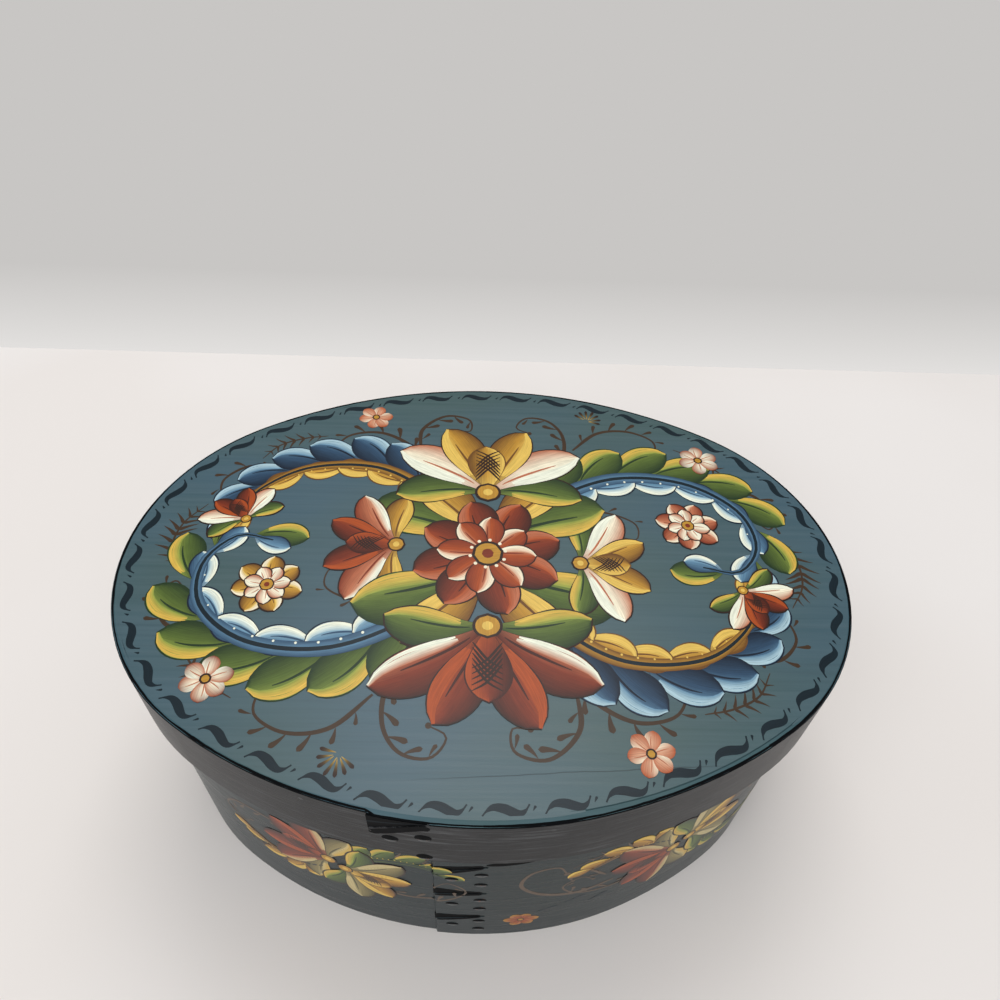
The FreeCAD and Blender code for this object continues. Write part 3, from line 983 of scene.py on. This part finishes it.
class OVALBOX_OT_stage(bpy.types.Operator):
    """Sets the pale floor, the soft studio light and the camera"""

    bl_idname = "ovalbox.stage"
    bl_label = "Stage"

    # The camera's place and aim, in metres of the object's frame, with a 1000 pixel square image
    EYE = (-0.0058, -0.1913, 0.3441)
    AIM = (0.0345, 0.7026, -0.7108)
    ROLL = 0.0561
    FOCAL_PIXELS = 751
    IMAGE_PIXELS = 1000
    SENSOR = 36.0
    # The table ends behind the box, where its far edge shows against the wall
    FLOOR_SIDE = 8.0
    FLOOR_END = 0.303
    # Each lamp's place, the side of its square and its power
    LAMPS = {
        "lamp_over": ((0.0, 0.56, 1.5), 0.75, 7.2),
        "lamp_front": ((-0.7, -1.1, 1.6), 1.6, 14.5),
    }
    LAMP_AIM = (0, 0, 0.1)
    ROOM_LIGHT = 0.62

    def execute(self, context):
        scene = context.scene
        scene.view_settings.view_transform = "Standard"
        self.camera(scene)
        self.floor()
        self.lamps(scene)
        self.world(scene)
        return {"FINISHED"}

    def camera(self, scene):
        data = bpy.data.cameras.new("camera")
        data.sensor_width = self.SENSOR
        data.lens = self.FOCAL_PIXELS / self.IMAGE_PIXELS * self.SENSOR
        data.clip_start = 0.01
        camera = bpy.data.objects.new("camera", data)
        scene.collection.objects.link(camera)
        turn = Vector(self.AIM).to_track_quat("-Z", "Y").to_matrix().to_4x4()
        camera.matrix_world = Matrix.Translation(self.EYE) @ turn @ Matrix.Rotation(self.ROLL, 4, "Z")
        scene.camera = camera

    def floor(self):
        bpy.ops.object.select_all(action="DESELECT")
        middle = self.FLOOR_END - self.FLOOR_SIDE / 2
        bpy.ops.mesh.primitive_plane_add(size=self.FLOOR_SIDE, location=(0, middle, 0))
        floor = bpy.context.object
        floor.name = "floor"
        material, tree, place = start_material("floor_pale_card")
        speck = streaks(tree, place, (3, 3, 3), 2, seen=(0.4, 0.6))
        colour = over(tree, linear("#e7e1dc"), ((speck, linear("#ebe6e2")),))
        finish_material(tree, colour, 0.8, speck, 0.02)
        floor.data.materials.append(material)

    def lamps(self, scene):
        for name, (place, size, power) in self.LAMPS.items():
            data = bpy.data.lights.new(name, "AREA")
            data.shape = "SQUARE"
            data.size = size
            data.energy = power
            lamp = bpy.data.objects.new(name, data)
            scene.collection.objects.link(lamp)
            lamp.location = place
            aim = Vector(self.LAMP_AIM) - Vector(place)
            lamp.rotation_euler = aim.to_track_quat("-Z", "Y").to_euler()

    def world(self, scene):
        world = bpy.data.worlds.new("studio")
        scene.world = world
        world.use_nodes = True
        tree = world.node_tree
        tree.nodes.clear()
        # The wall is palest where it meets the table and greyer above, and the room is dim over it
        way = add(tree, "TexCoord", out="Object")
        ahead, height = (add(tree, "SeparateXYZ", {"Vector": way}, axis) for axis in "YZ")
        slope = add(tree, "Math", {0: height, 1: add(tree, "Math", {0: ahead}, operation="ABSOLUTE")},
                    operation="DIVIDE")
        wall = over(tree, linear("#e4e2e0"), (
            (add(tree, "MapRange", {"Value": slope, 1: -0.71, 2: -0.55}), linear("#c8c6c4")),
            (add(tree, "MapRange", {"Value": height, 1: 0.1, 2: 0.5}), linear("#5c5d60")),
        ))
        soft = add(tree, "Background", {"Color": (0.97, 0.98, 1.0), "Strength": self.ROOM_LIGHT})
        seen = add(tree, "Background", {"Color": wall, "Strength": 1.0})
        shows = add(tree, "LightPath", out="Is Camera Ray")
        for ray in ("Is Glossy Ray", "Is Transmission Ray"):
            shows = add(tree, "Math", {0: shows, 1: add(tree, "LightPath", out=ray)}, operation="MAXIMUM")
        add(tree, "OutputWorld", {"Surface": add(tree, "MixShader", {0: shows, 1: soft, 2: seen})})


class OVALBOX_OT_finishes(bpy.types.Operator):
    """Gives wood, paint and metal to the pieces of the box and the lid"""

    bl_idname = "ovalbox.finishes"
    bl_label = "Wood, paint and tacks"

    def execute(self, context):
        finish = context.scene.ovalbox_finish
        tack = tack_copper(finish)
        peg = peg_wood(finish)
        for node, material in (
            ("lid_top", lid_board_paint(finish)),
            ("lid_band", lid_band_glaze(finish)),
            ("box_band", wall_paint(finish)),
            ("box_bottom", bare_board(finish)),
            ("box_tacks", tack),
            ("lid_tacks", tack),
            ("box_pegs", peg),
            ("lid_pegs", peg),
        ):
            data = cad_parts[node].data
            data.materials.clear()
            data.materials.append(material)
        return {"FINISHED"}


class OVALBOX_OT_lid_edge(bpy.types.Operator):
    """Paints over the lid's seam and draws the dark line along its edge"""

    bl_idname = "ovalbox.lid_edge"
    bl_label = "Lid edge"

    # The seam between board and band stays open where the paint has cracked, in front on the right: the
    # paint runs the long way round, from the first distance along the lid's outline to the second
    SEAM_FROM, SEAM_TO = 108.0, 30.0
    SEAM_DEPTH = 2.0
    SEAM_WIDTH = 1.1
    SEAM_STROKES = 4
    # The dark line is drawn in strokes that overlap by a little, and its weight wavers
    EDGE_DEPTH = 0.7
    EDGE_STROKES = 8
    EDGE_OVERLAP = 1.0
    EDGE_WEIGHTS = 9

    def execute(self, context):
        self.seam(context.scene.ovalbox_finish)
        self.edge(random.Random(context.scene.ovalbox_painting.hand))
        return {"FINISHED"}

    def seam(self, finish):
        seam = Brush(lid_surface)
        whole = LID_OVAL.perimeter + self.SEAM_TO - self.SEAM_FROM
        cuts = [self.SEAM_FROM + whole * k / self.SEAM_STROKES for k in range(self.SEAM_STROKES + 1)]
        for start, end in zip(cuts, cuts[1:]):
            line = [LID_OVAL.place(start + (end - start) * i / 30, -self.SEAM_DEPTH, False)[0]
                    for i in range(31)]
            seam.stroke(Spot(), line, self.SEAM_WIDTH, even, ("ink",), 1, 90)
        seam.make("lid_seam", "lid", seam_paint(finish))

    def edge(self, hand):
        edge = Brush(lid_surface)
        for k in range(self.EDGE_STROKES):
            start, end = (LID_OVAL.perimeter * part / self.EDGE_STROKES for part in (k, k + 1))
            start, end = start - self.EDGE_OVERLAP, end + self.EDGE_OVERLAP
            line = []
            for i in range(41):
                depth = self.EDGE_DEPTH + hand.uniform(0, 0.12)
                line.append(LID_OVAL.place(start + (end - start) * i / 40, -depth)[0])
            weights = [hand.uniform(0.4, 0.95) for _ in range(self.EDGE_WEIGHTS)]

            def weight(u):
                # The end stays just short of the last weight, so that there is always a next one
                place = u * (self.EDGE_WEIGHTS - 1.01)
                near, far = weights[int(place):int(place) + 2]
                return near + (far - near) * (place % 1)

            edge.stroke(Spot(), line, 1.0, weight, ("black",), 1, 60)
        edge.make("lid_edge_line", "lid", matt_black())


class OVALBOX_OT_lap_shadows(bpy.types.Operator):
    """Paints black into and along the gaps of the laps as painted shade, with the dark paint settled there,
    and over the tack heads
    """

    bl_idname = "ovalbox.lap_shadows"
    bl_label = "Black in the laps"

    # How far the paint fills a gap, and how far it reaches past the gap's sides
    FILL = 0.7
    REACH = 0.1
    # Widths of the black lines of painted shade on the faces: along the gaps, up from the last gap, and
    # along
    #     the lid's gap
    GAP_LINE = 1.5
    TOP_LINE = 3.4
    LID_LINE = 3.4
    # From the middle of a tack's head, the left half of the arch painted over it
    ARCH = ((2.4, -0.5), (1.5, 0.75))
    ARCH_TOP = 1.3
    BOX_ARCH, LID_ARCH = 1.3, 2.6

    def execute(self, context):
        self.box_gaps()
        self.box_lines()
        self.lid_gap()
        self.lid_line()
        self.tack_heads("box_tack_black_arches", "box", "box_paint", BOX_OVAL, BOX_TACKS, self.BOX_ARCH)
        self.tack_heads("lid_tack_black_arches", "lid", "band_paint", LID_OVAL, LID_TACKS, self.LID_ARCH)
        return {"FINISHED"}

    def box_gaps(self):
        brush = Brush(wall_surface(BOX_OVAL, lap=False), lowest=self.FILL)
        # The black in each gap is painted shade of the deep gap, together with the dark paint that pools
        # there
        for middle, drop in BOX_GAPS:
            upper, lower = [], []
            for i in range(13):
                u = i / 12
                half = BOX_GAP_HALF[0] + (BOX_GAP_HALF[1] - BOX_GAP_HALF[0]) * u + self.REACH
                x = BOX_FINGER_ROOT + self.REACH - (FINGER_LENGTH + 2 * self.REACH) * u
                z = middle - drop * u
                upper.append((x, z + half))
                lower.append((x, z - half))
            brush.strip(Spot(), upper, lower, 1, lambda u, v: TINT["black"])
        brush.make("box_gap_paint_and_painted_shade", "box", matt_black())

    def box_lines(self):
        brush = Brush(wall_surface(BOX_OVAL))
        # Black lines of painted shade over the finger faces along each gap
        for middle, drop in BOX_GAPS:
            for side in (1, -1):
                root, tip = (side * (half + 0.5) for half in BOX_GAP_HALF)
                line = [(BOX_FINGER_ROOT - 1, middle + root),
                        (BOX_FINGER_ROOT - FINGER_LENGTH + 0.6, middle - drop + tip)]
                brush.fresh()
                brush.stroke(Spot(), line, self.GAP_LINE, even, ("black",))
        # A black line of painted shadow where the lid band's lower edge stands off the wall, rising from the
        # last gap
        line = [(1.0, 78.6), (7, 79.4), (14, 80.8), (23, 83.5)]
        brush.stroke(Spot(), line, self.TOP_LINE, liner, ("black",), 2)
        brush.make("box_painted_shade_lines", "box", matt_black())

    def lid_ends(self):
        """The lid gap's open end and root, its lowest height and the height of the rim above it."""
        low = LID_FINGER_MIDDLE + LID_FINGER_TIP / 2
        return LID_FINGER_ROOT - FINGER_LENGTH, LID_FINGER_ROOT, low, TOP - RIM_BEVEL

    def lid_gap(self):
        left, right, low, rim = self.lid_ends()
        # The black above the lid's finger is painted shade on the under layer, together with its dark paint
        brush = Brush(wall_surface(LID_OVAL, lap=False), lowest=self.FILL)
        foot = [(left + (right - left) * k / 6, low + (rim - low) * k / 6 - self.REACH) for k in range(7)]
        # A worn streak runs through the middle of the black
        for start, end, paint in ((0.0, 0.5, "black"), (0.5, 0.62, "black_worn"), (0.62, 1.0, "black")):
            under, above = ([(x, z + (rim - z) * part) for x, z in foot] for part in (start, end))
            brush.strip(Spot(), above, under, 1, lambda u, v: TINT[paint])
        brush.make("lid_gap_paint_and_painted_shade", "lid", matt_black())

    def lid_line(self):
        left, right, low, rim = self.lid_ends()
        brush = Brush(wall_surface(LID_OVAL))
        # A black line of painted shade along the finger's upper edge
        line = [(left + 0.2, low - 1.9), (left + 6, low + 1.0),
                (right - 4, rim - 3.6), (right + 0.8, rim - 2.2)]
        brush.stroke(Spot(), line, self.LID_LINE, even, ("black",), 2)
        brush.make("lid_finger_painted_shade_line", "lid", matt_black())

    def tack_heads(self, name, body, slot_name, oval, places, depth):
        brush = Brush(wall_surface(oval, domes=places), first=20)
        for x, z in places:
            left = [(x - off, z + rise) for off, rise in self.ARCH]
            right = [(x + off, z + rise) for off, rise in reversed(self.ARCH)]
            brush.fresh()
            brush.stroke(Spot(), [*left, (x, z + self.ARCH_TOP), *right], depth, lambda u: bump(u, 0.5),
                         ("black",), 3, 14)
        brush.make(name, body, matt_black())


class OVALBOX_OT_lid_border(bpy.types.Operator):
    """Paints the leaf border round the lid"""

    bl_idname = "ovalbox.lid_border"
    bl_label = "Lid border"

    def execute(self, context):
        sizes = context.scene.ovalbox_painting
        brush = Brush(lid_surface, seed=sizes.hand)
        step = LID_OVAL.perimeter / sizes.border_leaves
        for k in range(sizes.border_leaves):
            point, normal = LID_OVAL.place(step * (k + 0.3), -sizes.border_inset / MM)
            turn = math.degrees(math.atan2(normal.x, -normal.y)) + brush.hand.uniform(-2.5, 2.5)
            brush.fresh()
            spot = Spot(point.x, point.y, turn, 1 + brush.hand.uniform(-0.05, 0.05))
            border_leaf(brush, spot, sizes.leaf_length / MM, sizes.leaf_width / MM)
        brush.make("lid_border", "lid", oil_paint())
        return {"FINISHED"}


class OVALBOX_OT_lid_scrolls(bpy.types.Operator):
    """Paints the tendrils and the scrolling leaves of the lid"""

    bl_idname = "ovalbox.lid_scrolls"
    bl_label = "Lid scrolls"

    def execute(self, context):
        for name, first, ornament in (("lid_tendrils", 0, lid_tendrils), ("lid_leaves", 25, lid_arms)):
            brush = Brush(lid_surface, first, context.scene.ovalbox_painting.hand)
            for turn in (0, 180):
                ornament(brush, Spot(0, 0, turn))
            brush.make(name, "lid", oil_paint())
        return {"FINISHED"}


class OVALBOX_OT_lid_flowers(bpy.types.Operator):
    """Paints the flowers of the lid"""

    bl_idname = "ovalbox.lid_flowers"
    bl_label = "Lid flowers"

    def execute(self, context):
        hand = context.scene.ovalbox_painting.hand
        brush = Brush(lid_surface, 150, hand)
        lid_centre(brush, Spot())
        brush.make("lid_flowers", "lid", oil_paint())
        brush = Brush(lid_surface, 150, hand)
        lid_sprigs(brush, Spot(0, 0, 0), (PINK, PALE), (YELLOW, PALE, GREEN))
        lid_sprigs(brush, Spot(0, 0, 180), (YELLOW, PALE), (RED, PINK, YELLOW))
        brush.make("lid_sprigs", "lid", oil_paint())
        return {"FINISHED"}


class OVALBOX_OT_wall_sprays(bpy.types.Operator):
    """Paints the flower sprays round the box wall"""

    bl_idname = "ovalbox.wall_sprays"
    bl_label = "Wall sprays"

    # Each spray's distance along the wall, its size and whether it is mirrored
    SPRAYS = ((-54, 1.05, False), (78, 1.05, True), (188, 0.95, False),
              (312, 1.0, True), (436, 1.0, False), (562, 0.95, True))
    HEIGHT = 53.0
    # The scrolls between the two front sprays, and dark touches with their angles
    SCROLL = ((50, 44), (36, 40), (22, 45), (14, 56), (17, 68), (26, 71), (30, 63))
    SHOOT = ((46, 52), (38, 62), (31, 60), (33, 54))
    TOUCHES = ((40, 34, 200), (30, 28, 195), (50, 30, 205))

    def execute(self, context):
        brush = Brush(wall_surface(BOX_OVAL), 0, context.scene.ovalbox_painting.hand)
        for distance, size, flip in self.SPRAYS:
            wall_spray(brush, Spot(distance, self.HEIGHT, 0, size, flip))
        brush.fresh()
        daisy(brush, Spot(16, 17), 7, ("brick", "brick_light", "rose"), "ochre")
        brush.curl(Spot(), self.SCROLL, 2.6, "sepia")
        brush.curl(Spot(), self.SHOOT, 1.5, "sepia", 3, 1, 5)
        for x, z, turn in self.TOUCHES:
            brush.comma(Spot(), x, z, turn, 9, 2.2, 0.1, ("ink",))
        brush.make("wall_sprays", "box", oil_paint())
        return {"FINISHED"}


OPERATORS = (
    OVALBOX_OT_stage,
    OVALBOX_OT_finishes,
    OVALBOX_OT_lid_edge,
    OVALBOX_OT_lap_shadows,
    OVALBOX_OT_lid_border,
    OVALBOX_OT_lid_scrolls,
    OVALBOX_OT_lid_flowers,
    OVALBOX_OT_wall_sprays,
)


class OVALBOX_PT_panel(bpy.types.Panel):
    """Lists the steps that finish the box"""

    bl_idname = "OVALBOX_PT_panel"
    bl_label = "Oval box"
    bl_space_type = "VIEW_3D"
    bl_region_type = "UI"
    bl_category = "Oval box"

    def draw(self, context):
        for operator in OPERATORS:
            self.layout.operator(operator.bl_idname)
        for group in (context.scene.ovalbox_finish, context.scene.ovalbox_painting):
            for name in group.__annotations__:
                self.layout.prop(group, name)


CLASSES = (OvalBoxFinish, OvalBoxPainting, *OPERATORS, OVALBOX_PT_panel)


def register():
    for kind in CLASSES:
        bpy.utils.register_class(kind)
    bpy.types.Scene.ovalbox_finish = PointerProperty(type=OvalBoxFinish)
    bpy.types.Scene.ovalbox_painting = PointerProperty(type=OvalBoxPainting)


def unregister():
    del bpy.types.Scene.ovalbox_painting
    del bpy.types.Scene.ovalbox_finish
    for kind in reversed(CLASSES):
        bpy.utils.unregister_class(kind)


def main():
    register()
    bpy.ops.ovalbox.stage()
    bpy.ops.ovalbox.finishes()
    bpy.ops.ovalbox.lid_edge()
    bpy.ops.ovalbox.lap_shadows()
    bpy.ops.ovalbox.lid_border()
    bpy.ops.ovalbox.lid_scrolls()
    bpy.ops.ovalbox.lid_flowers()
    bpy.ops.ovalbox.wall_sprays()


if __name__ == "__main__":
    main()
